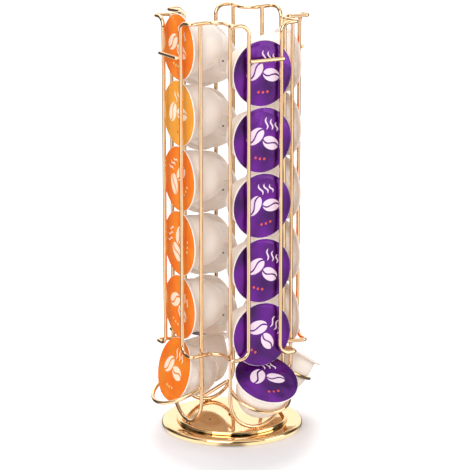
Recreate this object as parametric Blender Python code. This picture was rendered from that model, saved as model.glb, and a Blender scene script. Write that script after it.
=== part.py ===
"""Revolving wire dispenser for coffee capsules, loaded with four columns of six.

Metres, +Z up. The origin is the middle of the pad's underside, on the axis that the rack turns on.
The front column faces -Y. In a column's own frame a place is given as outward (away from the
axis), aside (to the right of someone who faces the column) and height.
"""

import math

import bmesh
import bpy
from mathutils import Matrix, Vector

# Wire
WIRE_DIA = 0.0032
CONTACT_GAP = 0.0003
WIRE_BEVEL_STEPS = 2

# Capsule: a tapered cup with a domed end, a flange and a sealed lid
FLANGE_DIA = 0.054
FLANGE_THICK = 0.0016
FLANGE_EDGE = 0.0006
LID_CROWN = 0.0012
FLANGE_LIP = 0.0045
CUP_DEPTH = 0.0345
DOME_DEPTH = 0.0375
DOME_POWER = 3
CUP_RING_SHARES = (0, 0.48, 0.8, 1)
CAPSULE_SIDES = 20

# Columns
CAPSULES_PER_COLUMN = 6
COLUMN_ANGLES = {"front": 0, "right": 90, "back": 180, "left": 270}
LEANING_COLUMNS = ("left",)
CORNER_ANGLE = 45
CUP_CLEARANCE = 0.0003
FLANGE_REAR_PLAY = 0.002
CUP_SIDE_PLAY = 0.0009
LID_FRONT_PLAY = 0.0044
RIM_PLAY = 0.0016
FRONT_OPENING = 0.0268

# Corner loops, which hold the capsules in from the front and the sides
LOOP_BOTTOM_Z = 0.0753
LOOP_HEADROOM = 0.0035
LOOP_CORNER_RADIUS = 0.008
LOOP_DIP = 0.0036
LOOP_BEND_STEPS = 3
EAR_RADIUS = 0.003
EAR_TURN = 100
EAR_STEPS = 3
WAVE_STEPS = 2
WELD_ANGLE = 100
DIP_DEPTH_SHARE = 0.22
DIP_SIDE_SHARE = 0.6

# Guide wires, cross bars, cradle hoops and braces
GUIDE_TIP = 0.0006
GUIDE_ARC_STEPS = 10
CROSS_BAR_DROP = 0.0285
CROSS_BAR_OVERHANG = 0.0003
HOOP_LEG = 0.0044
HOOP_FRONT_Z = 0.0322
HOOP_SIDE_Z = 0.0455
HOOP_ARC_STEPS = 10
BRACE_LOW_Z = 0.0402
BRACE_HIGH_Z = 0.0541

# How many degrees a bottom capsule's lid is tipped up, and how far its flange and the stack's have
# slid out from the place where the four columns' cups would almost touch
TIPPED_TILT = 58.5
TIPPED_SLIDE = 0.012
TIPPED_STACK_SLIDE = 0.0031
LEANING_TILT = 13.5
LEANING_SLIDE = 0.0076
LEANING_STACK_SLIDE = 0.0018
SEARCH_STEP = 0.004
SEARCH_TOLERANCE = 0.00001
SAMPLE_SPACING = 0.001
RIM_SAMPLES = 72

# Base
BASE_DIA = 0.119
SHEET = 0.001
BEAD_RADIUS = 0.0028
BEAD_STEPS = 4
RIM_TOP_Z = 0.006
WELL_DIA = 0.08
WELL_SLOPE = 0.003
BOSS_DIA = 0.018
BOSS_SLOPE = 0.0024
BOSS_RISE = 0.0028
PAD_INSET = 0.0055
PAD_THICK = 0.0015
PAD_EDGE = 0.0004
BASE_SIDES = 36

# Turntable plate and its ball race
PLATE_DIA = 0.0938
PLATE_TOP_Z = 0.0092
PLATE_SHOULDER = 0.0022
SHOULDER_STEPS = 2
RACE_DIA = 0.06
RACE_WIDTH = 0.008
RACE_THICK = 0.0015
BALL_DIA = 0.003
BALL_COUNT = 8
GROOVE_STEPS = 3
CAGE_WIDTH = 0.006
RACE_SIDES = 20
POCKET_SIDES = 6
BALL_STEPS = 2
CUT_OVERRUN = 0.001

# Pivot rivet
RIVET_DIA = 0.004
RIVET_HEAD_DIA = 0.0064
RIVET_HEAD_RISE = 0.0021
RIVET_TAIL_DIA = 0.0072
RIVET_TAIL_THICK = 0.0012
RIVET_PLAY = 0.0003
HEAD_STEPS = 3
RIVET_SIDES = 12

SMOOTH_ANGLE = 35
MERGE_DISTANCE = 0.000001


def cup_radius(depth):
    """Radius of a capsule's cup at a depth behind its flange."""
    return (FLANGE_DIA / 2 - FLANGE_LIP) * math.sqrt(1 - (depth / DOME_DEPTH) ** DOME_POWER)


# Sizes that follow from the driving ones
WIRE_RADIUS = WIRE_DIA / 2
WIRE_PITCH = WIRE_DIA + CONTACT_GAP
CUP_DEPTHS = [CUP_DEPTH * step / RIM_SAMPLES for step in range(RIM_SAMPLES + 1)]
FLANGE_BACK = max(depth + cup_radius(depth) for depth in CUP_DEPTHS) + CUP_CLEARANCE
GUIDE_OUT = FLANGE_BACK - FLANGE_REAR_PLAY - WIRE_RADIUS
GUIDE_SIDE = cup_radius(0) + CUP_SIDE_PLAY + WIRE_RADIUS
POST_OUT = FLANGE_BACK + FLANGE_THICK + LID_CROWN + LID_FRONT_PLAY + WIRE_RADIUS
POST_SIDE = FRONT_OPENING / 2 + WIRE_RADIUS
EAR_SIDE = FLANGE_DIA / 2 + RIM_PLAY + WIRE_RADIUS
GUIDE_ARC_Z = PLATE_TOP_Z + CONTACT_GAP + WIRE_RADIUS + GUIDE_SIDE
CAPSULE_PITCH = FLANGE_DIA + CONTACT_GAP
LOOP_TOP_Z = LOOP_BOTTOM_Z + (CAPSULES_PER_COLUMN - 1) * CAPSULE_PITCH + LOOP_HEADROOM
GUIDE_TOP_Z = LOOP_TOP_Z + GUIDE_TIP
CROSS_BAR_Z = LOOP_TOP_Z - CROSS_BAR_DROP
HOOP_REACH = GUIDE_OUT + HOOP_LEG + GUIDE_SIDE
WELL_FLOOR_Z = PAD_THICK + CONTACT_GAP + SHEET
BOSS_TOP_Z = WELL_FLOOR_Z + BOSS_RISE
PLATE_UNDER_Z = PLATE_TOP_Z - SHEET
BALL_Z = (WELL_FLOOR_Z + PLATE_UNDER_Z) / 2


def clear_scene():
    for item in list(bpy.data.objects):
        bpy.data.objects.remove(item, do_unlink=True)


def make_material(name, colour, roughness, metallic=0.0):
    material = bpy.data.materials.new(name)
    material.use_nodes = True
    shader = material.node_tree.nodes["Principled BSDF"]
    shader.inputs["Base Color"].default_value = (*colour, 1)
    shader.inputs["Roughness"].default_value = roughness
    shader.inputs["Metallic"].default_value = metallic
    material.diffuse_color = (*colour, 1)
    return material


def place(name, data, material, parent, matrix=None):
    """Add an object for some mesh or curve data under a parent."""
    item = bpy.data.objects.new(name, data)
    bpy.context.scene.collection.objects.link(item)
    if data is not None and not data.materials:
        data.materials.append(material)
    item.parent = parent
    if matrix is not None:
        item.matrix_local = matrix
    return item


def make_frame(name, parent, matrix=None):
    return place(name, None, None, parent, matrix)


def turned_mesh(name, profile, sides, closed=False):
    """Turn a profile of (radius, height) points once round the Z axis."""
    mesh = bpy.data.meshes.new(name)
    work = bmesh.new()
    verts = [work.verts.new((radius, 0, height)) for radius, height in profile]
    edges = [work.edges.new(pair) for pair in zip(verts, verts[1:])]
    if closed:
        edges.append(work.edges.new((verts[-1], verts[0])))
    bmesh.ops.spin(work, geom=verts + edges, cent=(0, 0, 0), axis=(0, 0, 1),
                   angle=math.tau, steps=sides, use_merge=True)
    bmesh.ops.remove_doubles(work, verts=work.verts, dist=MERGE_DISTANCE)
    bmesh.ops.recalc_face_normals(work, faces=work.faces)
    work.to_mesh(mesh)
    work.free()
    mesh.shade_smooth()
    mesh.set_sharp_from_angle(angle=math.radians(SMOOTH_ANGLE))
    return mesh


def arc(centre, radius, start, end, steps):
    """Points of an arc in a plane, from one angle to another, in degrees."""
    points = []
    for step in range(steps + 1):
        angle = math.radians(start + (end - start) * step / steps)
        points.append(Vector(centre) + radius * Vector((math.cos(angle), math.sin(angle))))
    return points


def smooth_curve(points, steps):
    """A Catmull-Rom curve through the points, with its ends repeated."""
    padded = [points[0], *points, points[-1]]
    curve = []
    for index in range(len(points) - 1):
        before, start, end, after = padded[index:index + 4]
        for step in range(steps):
            t = step / steps
            curve.append(start + (end - before) * t / 2
                         + (2 * before - 5 * start + 4 * end - after) * t * t / 2
                         + (3 * start - before - 3 * end + after) * t ** 3 / 2)
    return curve + [points[-1]]


def path_lengths(points):
    """Distance along a path to each of its points."""
    lengths = [0]
    for start, end in zip(points, points[1:]):
        lengths.append(lengths[-1] + (end - start).length)
    return lengths


def point_along(points, lengths, distance):
    """The point at a distance along a path."""
    for index in range(1, len(points)):
        if distance <= lengths[index]:
            stretch = lengths[index] - lengths[index - 1]
            return points[index - 1].lerp(points[index], (distance - lengths[index - 1]) / stretch)
    return points[-1].copy()


def sample_path(points):
    """Closely spaced points along a path."""
    lengths = path_lengths(points)
    count = math.ceil(lengths[-1] / SAMPLE_SPACING)
    return [point_along(points, lengths, lengths[-1] * step / count) for step in range(count + 1)]


def in_column(outward, aside, height):
    """A place in a column's own frame."""
    return Vector((aside, -outward, height))


def make_wire(name, points, material, parent, closed=False):
    """A round wire along a path."""
    curve = bpy.data.curves.new(name, "CURVE")
    curve.dimensions = "3D"
    curve.bevel_depth = WIRE_RADIUS
    curve.bevel_resolution = WIRE_BEVEL_STEPS
    curve.render_resolution_u = 0
    curve.use_fill_caps = not closed
    spline = curve.splines.new("POLY")
    spline.points.add(len(points) - 1)
    for spot, point in zip(spline.points, points):
        spot.co = (*point, 1)
    spline.use_cyclic_u = closed
    spline.use_smooth = True
    return place(name, curve, material, parent)


def guide_path():
    """One long wire: down behind the flanges, round under the column and up again."""
    path = [in_column(GUIDE_OUT, -GUIDE_SIDE, GUIDE_TOP_Z)]
    for aside, height in arc((0, GUIDE_ARC_Z), GUIDE_SIDE, 180, 360, GUIDE_ARC_STEPS):
        path.append(in_column(GUIDE_OUT, aside, height))
    path.append(in_column(GUIDE_OUT, GUIDE_SIDE, GUIDE_TOP_Z))
    return path


def loop_plan():
    """The loop's top and bottom wires seen from above, in the frame of their corner.

    From its post the wire runs aside past the flanges' edge, turns sharply back to the guide wire
    and dips inward. Half of it is laid out in the frame of the column on its left, then turned.
    """
    ear_centre = (POST_OUT - EAR_RADIUS, EAR_SIDE - EAR_RADIUS)
    weld_turn = math.radians(WELD_ANGLE)
    weld = Vector((GUIDE_OUT, GUIDE_SIDE))
    weld += WIRE_PITCH * Vector((math.cos(weld_turn), math.sin(weld_turn)))
    half = [Vector((POST_OUT, POST_SIDE)), *arc(ear_centre, EAR_RADIUS, 0, EAR_TURN, EAR_STEPS), weld]
    corner = [Vector((aside - outward, outward + aside)) / math.sqrt(2) for outward, aside in half]
    weld_side, weld_out = corner.pop()
    dip_out = (GUIDE_OUT + GUIDE_SIDE) / math.sqrt(2) - LOOP_DIP
    wave = [corner[-1], Vector((weld_side, weld_out)),
            Vector((weld_side * DIP_SIDE_SHARE, dip_out + (weld_out - dip_out) * DIP_DEPTH_SHARE))]
    wave += [Vector((0, dip_out))] + [Vector((-side, out)) for side, out in wave[::-1]]
    mirrored = [Vector((-side, out)) for side, out in corner[::-1]]
    return corner[:-1] + smooth_curve(wave, WAVE_STEPS) + mirrored[1:]


def loop_path():
    """The closed corner loop: plan at the top, post, plan at the bottom, post."""
    plan = loop_plan()
    lengths = path_lengths(plan)
    bend = []
    for step in range(LOOP_BEND_STEPS + 1):
        turn = math.radians(90 * step / LOOP_BEND_STEPS)
        bend.append((LOOP_CORNER_RADIUS * (1 - math.cos(turn)),
                     LOOP_CORNER_RADIUS * (1 - math.sin(turn))))
    far_bend = [(lengths[-1] - distance, drop) for distance, drop in bend[::-1]]
    between = [(distance, 0) for distance in lengths if bend[-1][0] < distance < far_bend[0][0]]
    top = []
    bottom = []
    for distance, drop in bend + between + far_bend:
        side, out = point_along(plan, lengths, distance)
        top.append(in_column(out, side, LOOP_TOP_Z - drop))
        bottom.append(in_column(out, side, LOOP_BOTTOM_Z + drop))
    return top + bottom[::-1]


def hoop_path():
    """The cradle hoop: from one guide wire out round the bottom capsule and back to the other."""
    lean = math.atan2(HOOP_SIDE_Z - HOOP_FRONT_Z, HOOP_REACH - GUIDE_OUT)
    end_out = GUIDE_OUT + CONTACT_GAP + WIRE_RADIUS * (1 + math.sin(lean))
    centre_out = HOOP_REACH - GUIDE_SIDE
    plan = [Vector((-GUIDE_SIDE, end_out))]
    plan += arc((0, centre_out), GUIDE_SIDE, 180, 0, HOOP_ARC_STEPS)
    plan.append(Vector((GUIDE_SIDE, end_out)))
    rise = (HOOP_SIDE_Z - HOOP_FRONT_Z) / (HOOP_REACH - end_out)
    return [in_column(out, side, HOOP_FRONT_Z + rise * (HOOP_REACH - out)) for side, out in plan]


def brace_path():
    """A short sloping wire across a corner, between the guide wires of two columns."""
    corner_out = (GUIDE_OUT + GUIDE_SIDE) / math.sqrt(2)
    corner_side = (GUIDE_OUT - GUIDE_SIDE) / math.sqrt(2)
    lean = math.atan2(BRACE_HIGH_Z - BRACE_LOW_Z, 2 * corner_side)
    end_side = corner_side - CONTACT_GAP - WIRE_RADIUS * (1 + math.sin(lean))
    return [in_column(corner_out, -end_side, BRACE_LOW_Z), in_column(corner_out, end_side, BRACE_HIGH_Z)]


def cross_bar_path():
    out = POST_OUT + WIRE_PITCH
    end = POST_SIDE + CROSS_BAR_OVERHANG
    return [in_column(out, -end, CROSS_BAR_Z), in_column(out, end, CROSS_BAR_Z)]


def capsule_profile():
    """Radius and height from the lid's middle to the cup's floor, flange's back at height zero."""
    radius = FLANGE_DIA / 2
    profile = [(0, FLANGE_THICK + LID_CROWN), (radius - FLANGE_EDGE, FLANGE_THICK),
               (radius, FLANGE_THICK / 2), (radius - FLANGE_EDGE, 0)]
    for share in CUP_RING_SHARES:
        profile.append((cup_radius(CUP_DEPTH * share), -CUP_DEPTH * share))
    return profile + [(0, -CUP_DEPTH)]


def capsule_pose(tilt, outward, height):
    """A capsule with its flange's back at a place and its lid tilted up from upright."""
    turn = Matrix.Rotation(math.radians(90 - tilt), 4, "X")
    return Matrix.Translation(in_column(outward, 0, height)) @ turn


def gap_to_capsule(point, pose_inverse, profile):
    """Distance from a point to a capsule's surface, below zero inside it."""
    local = pose_inverse @ point
    spot = Vector((math.hypot(local.x, local.y), local.z))
    nearest = None
    for start, end in zip(profile, profile[1:]):
        side = end - start
        share = min(1, max(0, (spot - start).dot(side) / side.length_squared))
        distance = (spot - start - side * share).length
        if nearest is None or distance < nearest:
            nearest = distance
    in_flange = 0 < spot.y < FLANGE_THICK and spot.x < FLANGE_DIA / 2
    in_cup = -CUP_DEPTH < spot.y <= 0 and spot.x < cup_radius(-spot.y)
    return -nearest if in_flange or in_cup else nearest


def seat_capsule(tilt, outward, start_height, obstacles, clearance):
    """Lower a capsule from a height until it comes within a clearance of some points."""
    profile = [Vector(point) for point in capsule_profile()]
    height = start_height
    step = SEARCH_STEP
    while step > SEARCH_TOLERANCE:
        inverse = capsule_pose(tilt, outward, height - step).inverted()
        if min(gap_to_capsule(point, inverse, profile) for point in obstacles) > clearance:
            height -= step
        else:
            step /= 2
    return height


def rim_points(pose):
    """Points round a capsule's flange."""
    points = []
    for step in range(RIM_SAMPLES):
        turn = math.tau * step / RIM_SAMPLES
        across = Vector((math.sin(turn), math.cos(turn), 0)) * FLANGE_DIA / 2
        points.append(pose @ (across + Vector((0, 0, FLANGE_THICK / 2))))
    return points


def column_poses(tilt, slide, stack_slide):
    """Poses of a column's capsules, top one first: the bottom one seated on the wires."""
    wires = sample_path(hoop_path()) + sample_path(guide_path()[1:-1])
    reach = FLANGE_BACK + slide
    start = HOOP_SIDE_Z + FLANGE_DIA / 2
    bottom_height = seat_capsule(tilt, reach, start, wires, WIRE_RADIUS + CONTACT_GAP)
    bottom = capsule_pose(tilt, reach, bottom_height)
    start = bottom_height + FLANGE_DIA * 2
    stack_reach = FLANGE_BACK + stack_slide
    stack_height = seat_capsule(0, stack_reach, start, rim_points(bottom), CONTACT_GAP)
    poses = [bottom]
    for index in range(CAPSULES_PER_COLUMN - 1):
        poses.append(capsule_pose(0, stack_reach, stack_height + CAPSULE_PITCH * index))
    return poses[::-1]


def make_base(steel, foam, parent):
    """The pressed base with its rolled edge, the pad under it and the rivet through it."""
    bead_middle = (BASE_DIA / 2 - BEAD_RADIUS, RIM_TOP_Z - BEAD_RADIUS)
    hole = RIVET_DIA / 2 + RIVET_PLAY
    lower = [(hole, BOSS_TOP_Z), (BOSS_DIA / 2, BOSS_TOP_Z),
             (BOSS_DIA / 2 + BOSS_SLOPE, WELL_FLOOR_Z), (WELL_DIA / 2, WELL_FLOOR_Z),
             (WELL_DIA / 2 + WELL_SLOPE, RIM_TOP_Z)]
    face = lower + [tuple(point) for point in arc(bead_middle, BEAD_RADIUS, 90, -90, BEAD_STEPS)]
    back = [(radius, height - SHEET) for radius, height in lower]
    back += [tuple(point) for point in arc(bead_middle, BEAD_RADIUS - SHEET, 90, -90, BEAD_STEPS)]
    place("base_disc", turned_mesh("base_disc", face + back[::-1], BASE_SIDES, closed=True), steel, parent)

    pad_radius = BASE_DIA / 2 - PAD_INSET
    pad = [(0, PAD_THICK), (pad_radius - PAD_EDGE, PAD_THICK), (pad_radius, PAD_THICK - PAD_EDGE),
           (pad_radius, 0), (0, 0)]
    place("anti_slip_pad", turned_mesh("anti_slip_pad", pad, BASE_SIDES), foam, parent)


def make_rivet(steel, parent):
    """The rivet that the turntable plate turns on, with a domed head above it."""
    seat = PLATE_TOP_Z + CONTACT_GAP
    head = []
    for step in range(HEAD_STEPS + 1):
        turn = math.radians(90 - 90 * step / HEAD_STEPS)
        head.append((RIVET_HEAD_DIA / 2 * math.cos(turn), seat + RIVET_HEAD_RISE * math.sin(turn)))
    tail_top = BOSS_TOP_Z - SHEET - CONTACT_GAP
    tail_end = tail_top - RIVET_TAIL_THICK
    profile = head + [(RIVET_DIA / 2, seat), (RIVET_DIA / 2, tail_top), (RIVET_TAIL_DIA / 2, tail_top),
                      (RIVET_TAIL_DIA / 2, tail_end), (0, tail_end)]
    profile[0] = (0, seat + RIVET_HEAD_RISE)
    place("pivot_rivet", turned_mesh("pivot_rivet", profile, RIVET_SIDES), steel, parent)


def make_plate(steel, parent):
    """The raised turntable plate that the wires stand on, a shallow pan turned over."""
    radius = PLATE_DIA / 2
    skirt_end = RIM_TOP_Z + CONTACT_GAP
    hole = RIVET_DIA / 2 + RIVET_PLAY
    middle = (radius - PLATE_SHOULDER, PLATE_TOP_Z - PLATE_SHOULDER)
    outer = [tuple(point) for point in arc(middle, PLATE_SHOULDER, 90, 0, SHOULDER_STEPS)]
    inner = [tuple(point) for point in arc(middle, PLATE_SHOULDER - SHEET, 0, 90, SHOULDER_STEPS)]
    profile = [(hole, PLATE_TOP_Z)] + outer + [(radius, skirt_end), (radius - SHEET, skirt_end)]
    profile += inner + [(hole, PLATE_UNDER_Z)]
    place("turntable_plate", turned_mesh("turntable_plate", profile, BASE_SIDES, closed=True), steel, parent)


def race_profile(back_z, face_z):
    """A flat ring with a ball groove in its face."""
    ball_reach = BALL_DIA / 2 + CONTACT_GAP
    half = math.degrees(math.acos(abs(BALL_Z - face_z) / ball_reach))
    facing = 270 if face_z < BALL_Z else 90
    groove = arc((RACE_DIA / 2, BALL_Z), ball_reach, facing - half, facing + half, GROOVE_STEPS)
    inner = (RACE_DIA - RACE_WIDTH) / 2
    outer = (RACE_DIA + RACE_WIDTH) / 2
    if facing == 90:
        groove = groove[::-1]
    profile = [(inner, back_z), (inner, face_z)] + [tuple(point) for point in groove]
    return profile + [(outer, face_z), (outer, back_z)]


def make_races(steel, base, carousel):
    low_back = WELL_FLOOR_Z + CONTACT_GAP
    low = turned_mesh("lower_race", race_profile(low_back, low_back + RACE_THICK), RACE_SIDES, closed=True)
    place("lower_race", low, steel, base)
    high_back = PLATE_UNDER_Z - CONTACT_GAP
    high = turned_mesh("upper_race", race_profile(high_back, high_back - RACE_THICK), RACE_SIDES, closed=True)
    place("upper_race", high, steel, carousel)
    return low_back + RACE_THICK, high_back - RACE_THICK


def make_cage(plastic, steel, parent, low_face_z, high_face_z):
    """The ring that spaces the balls, drilled with a pocket for each, and the balls in it."""
    low = low_face_z + CONTACT_GAP
    high = high_face_z - CONTACT_GAP
    inner = (RACE_DIA - CAGE_WIDTH) / 2
    outer = (RACE_DIA + CAGE_WIDTH) / 2
    ring = [(inner, low), (inner, high), (outer, high), (outer, low)]
    cage = place("ball_cage", turned_mesh("ball_cage", ring, RACE_SIDES, closed=True), plastic, parent)

    drill = bpy.data.meshes.new("pocket_drill")
    work = bmesh.new()
    spots = []
    for index in range(BALL_COUNT):
        turn = Matrix.Rotation(math.tau * (index + 0.5) / BALL_COUNT, 4, "Z")
        spots.append(turn @ Matrix.Translation((RACE_DIA / 2, 0, BALL_Z)))
        bmesh.ops.create_cone(work, cap_ends=True, segments=POCKET_SIDES, radius1=BALL_DIA / 2 + CONTACT_GAP,
                              radius2=BALL_DIA / 2 + CONTACT_GAP, depth=high - low + 2 * CUT_OVERRUN,
                              matrix=spots[-1])
    work.to_mesh(drill)
    work.free()
    cutter = place("pocket_drill", drill, plastic, parent)
    cutter.hide_render = True
    cutter.display_type = "WIRE"
    pockets = cage.modifiers.new("pockets", "BOOLEAN")
    pockets.operation = "DIFFERENCE"
    pockets.object = cutter

    ball = bpy.data.meshes.new("bearing_ball")
    work = bmesh.new()
    bmesh.ops.create_icosphere(work, subdivisions=BALL_STEPS, radius=BALL_DIA / 2)
    work.to_mesh(ball)
    work.free()
    ball.shade_smooth()
    for index, spot in enumerate(spots):
        place(f"bearing_ball_{index + 1}", ball, steel, parent, spot)


def make_capsules(name, capsule, shell, frame, poses):
    """A column's capsules from the top down: a stack, and the bottom one lying in the cradle."""
    stack = make_frame(f"{name}_stack", frame)
    for index, pose in enumerate(poses):
        parent = stack if index < len(poses) - 1 else frame
        place(f"{name}_capsule_{index + 1}", capsule, shell, parent, pose)


def build():
    clear_scene()
    wire_gold = make_material("gold_plated_wire", (0.86, 0.58, 0.30), 0.18, 1.0)
    plate_gold = make_material("polished_gold_plate", (0.90, 0.60, 0.28), 0.08, 1.0)
    bright_steel = make_material("bearing_steel", (0.62, 0.62, 0.64), 0.2, 1.0)
    foam = make_material("black_foam_pad", (0.02, 0.02, 0.022), 0.9)
    nylon = make_material("white_nylon", (0.85, 0.85, 0.82), 0.5)
    shell = make_material("capsule_shell", (0.89, 0.80, 0.72), 0.4)

    base = make_frame("base", None)
    bearing = make_frame("bearing", base)
    carousel = make_frame("carousel", base)
    make_base(plate_gold, foam, base)
    make_rivet(plate_gold, base)
    make_plate(plate_gold, carousel)
    low_face_z, high_face_z = make_races(bright_steel, base, carousel)
    make_cage(nylon, bright_steel, bearing, low_face_z, high_face_z)

    capsule = turned_mesh("capsule", capsule_profile(), CAPSULE_SIDES)
    tipped = column_poses(TIPPED_TILT, TIPPED_SLIDE, TIPPED_STACK_SLIDE)
    leaning = column_poses(LEANING_TILT, LEANING_SLIDE, LEANING_STACK_SLIDE)
    for name, angle in COLUMN_ANGLES.items():
        turn = Matrix.Rotation(math.radians(angle), 4, "Z")
        column = make_frame(f"{name}_column", carousel, turn)
        make_wire(f"{name}_guide_wire", guide_path(), wire_gold, column)
        make_wire(f"{name}_cross_bar", cross_bar_path(), wire_gold, column)
        make_wire(f"{name}_cradle_hoop", hoop_path(), wire_gold, column)
        make_capsules(name, capsule, shell, column, leaning if name in LEANING_COLUMNS else tipped)

        turn = Matrix.Rotation(math.radians(angle + CORNER_ANGLE), 4, "Z")
        corner = make_frame(f"{name}_corner", carousel, turn)
        make_wire(f"{name}_corner_loop", loop_path(), wire_gold, corner, closed=True)
        make_wire(f"{name}_corner_brace", brace_path(), wire_gold, corner)


build()
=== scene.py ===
"""Looks of a revolving gold wire dispenser, loaded with four columns of coffee capsules.

Metres, +Z up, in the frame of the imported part. A place in a column's own frame is given as
outward (away from the axis), aside (to the right of someone who faces the column) and height.
"""

import math

import bmesh
import bpy
from mathutils import Matrix, Vector, noise


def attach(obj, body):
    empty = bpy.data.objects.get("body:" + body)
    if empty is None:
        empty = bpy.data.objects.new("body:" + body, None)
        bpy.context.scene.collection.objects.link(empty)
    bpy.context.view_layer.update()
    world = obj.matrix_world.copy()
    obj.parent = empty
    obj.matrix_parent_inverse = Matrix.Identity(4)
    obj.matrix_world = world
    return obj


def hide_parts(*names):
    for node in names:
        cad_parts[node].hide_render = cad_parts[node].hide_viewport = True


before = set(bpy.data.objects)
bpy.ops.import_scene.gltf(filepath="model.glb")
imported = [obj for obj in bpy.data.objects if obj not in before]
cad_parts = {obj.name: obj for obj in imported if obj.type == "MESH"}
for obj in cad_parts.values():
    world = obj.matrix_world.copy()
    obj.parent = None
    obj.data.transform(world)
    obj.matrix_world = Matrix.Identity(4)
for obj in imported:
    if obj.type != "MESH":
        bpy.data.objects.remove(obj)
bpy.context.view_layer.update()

MM = 0.001

# Edges over this many degrees stay sharp, and points nearer than this are one
SHARP_ANGLE = 40
MERGE_DISTANCE = 0.001 * MM

# Columns, by the angle that each stands at in degrees. A corner stands half a column further round
COLUMNS = {"front": 0, "right": 90, "back": 180, "left": 270}
CORNER_TURN = 45
CAPSULES_PER_COLUMN = 6

# Wires: 3.2 mm thick, with the solids' gap between two that are welded to each other
WIRE_RADIUS = 1.6 * MM
CONTACT_GAP = 0.3 * MM
WIRE_PITCH = 2 * WIRE_RADIUS + CONTACT_GAP
WIRE_SIDES = 20
WIRE_END_ROUND = 0.45 * MM
HALF_ROUND_STEPS = 40
BEND_STEPS = 10

# Guide wires: the long U of each column, behind the flanges
GUIDE_OUT = 42.559 * MM
GUIDE_SIDE = 25 * MM
GUIDE_ARC_Z = 36.1 * MM
GUIDE_TOP_Z = 350.9 * MM

# Corner loops: two posts, joined at top and bottom by way of the ears, the welds and the dip.
# The ear's bend and the weld's place round the guide wire are in degrees. The dip has a shoulder
# at these shares of its depth and of its half width
POST_OUT = 54.959 * MM
POST_SIDE = 15 * MM
LOOP_TOP_Z = 350.3 * MM
LOOP_BOTTOM_Z = 75.3 * MM
LOOP_CORNER_RADIUS = 8 * MM
LOOP_DIP = 3.6 * MM
EAR_SIDE = 30.2 * MM
EAR_RADIUS = 3 * MM
EAR_TURN = 100
WELD_ANGLE = 100
DIP_DEPTH_SHARE = 0.22
DIP_SIDE_SHARE = 0.6

# Cross bars, cradle hoops and corner braces
CROSS_BAR_Z = 321.8 * MM
CROSS_BAR_OVERHANG = 0.3 * MM
HOOP_REACH = 71.959 * MM
HOOP_FRONT_Z = 32.2 * MM
HOOP_SIDE_Z = 45.5 * MM
BRACE_LOW_Z = 40.2 * MM
BRACE_HIGH_Z = 54.1 * MM

# Lumps of weld metal: half sizes along X, Y and Z in the frame of their column or corner
LOOP_WELD = (0.7 * MM, 0.7 * MM, 0.9 * MM)
FOOT_WELD = (3.2 * MM, 1.7 * MM, 0.8 * MM)
FOOT_WELD_RISE = 0.2 * MM
BAR_WELD = (1.2 * MM, 0.9 * MM, 1.2 * MM)
HOOP_WELD = (1.75 * MM, 1.0 * MM, 1.9 * MM)
HOOP_WELD_SHIFT = Vector((0, 0.4 * MM, 0.2 * MM))
BRACE_WELD = (1.0 * MM, 1.7 * MM, 1.7 * MM)
WELD_SEGMENTS = 14
WELD_RINGS = 8

# Capsule shells: the flange, the sunk face that the foil covers, and the domed wall
FLANGE_RADIUS = 27 * MM
FLANGE_THICK = 1.6 * MM
FLANGE_EDGE = FLANGE_THICK / 2
FLANGE_EDGE_STEPS = 10
LID_RADIUS = 26.05 * MM
FACE_SINK = 0.2 * MM
FACE_SLOPE_IN = 0.6 * MM
FACE_SLOPE_OUT = 0.1 * MM
CUP_RADIUS = 22.5 * MM
CUP_DEPTH = 34.5 * MM
CUP_SIDES = 72
CUP_SHARP_ANGLE = 32
DOME_DEPTH = 37.5 * MM
DOME_POWER = 3
WALL_RINGS = 26
GROOVED_RINGS = (6, 20)
GROOVE_DEPTH = 0.18 * MM
GROOVE_WIDTH = 0.5 * MM

# Smaller forms of a shell, as (radius, height) in millimetres: the fillet under the flange from
# the wall, the standing ring from the floor's edge, and the outlet from the middle of the floor
NECK_FILLET_MM = ((0.6, 0), (0.15, -0.15))
STANDING_RING_MM = ((0.25, 0.35), (-0.5, 0), (-2.2, 0), (-2.6, 0.9))
OUTLET_MM = ((4.0, 0.9), (3.6, 0.3), (0.9, 0.3), (0.8, 0.9), (0, 0.9))
OUTLET_HEIGHT = 1 * MM
OUTLET_PIT_RADIUS = 0.9 * MM

# Foil lids: sealed flat round the edge, crowned inside the seal, and dented a little
LID_CROWN = 1.2 * MM
LID_SIDES = 96
LID_SHARP_ANGLE = 50
SEAL_WIDTH = 2 * MM
FOIL_THICK = 0.06 * MM
FOIL_UNDERSIDE = 0.1 * MM
FOIL_LIP = 0.12 * MM
FOIL_WRAP_START = 66
FOIL_WRAP_STEPS = 6
CROWN_BEND_OUT = 0.2 * MM
CROWN_BEND_IN = 0.3 * MM
CROWN_BEND_RISE = 0.14 * MM
CROWN_RISE = 0.86 * MM
CROWN_POWER = 1.4
CROWN_RINGS = 18
DENT_DEPTH = 0.22 * MM
DENT_SIZE = 9 * MM
DENT_MARGIN = 4 * MM
DENT_BIAS = 0.25

# How far the bottom capsules are tipped back, in degrees: the left one only leans
TIPPED_TILT = 58.5
LEANING_TILT = 13.5

# How each lid's print is turned, top capsule first, in degrees
PRINT_TURNS = {
    "front": (6, -4, 18, -10, -34, 3),
    "right": (24, -52, 140, 12, 75, -2),
    "back": (-15, 60, 8, -120, 33, 92),
    "left": (-3, 22, 64, 95, -18, 4),
}

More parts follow.
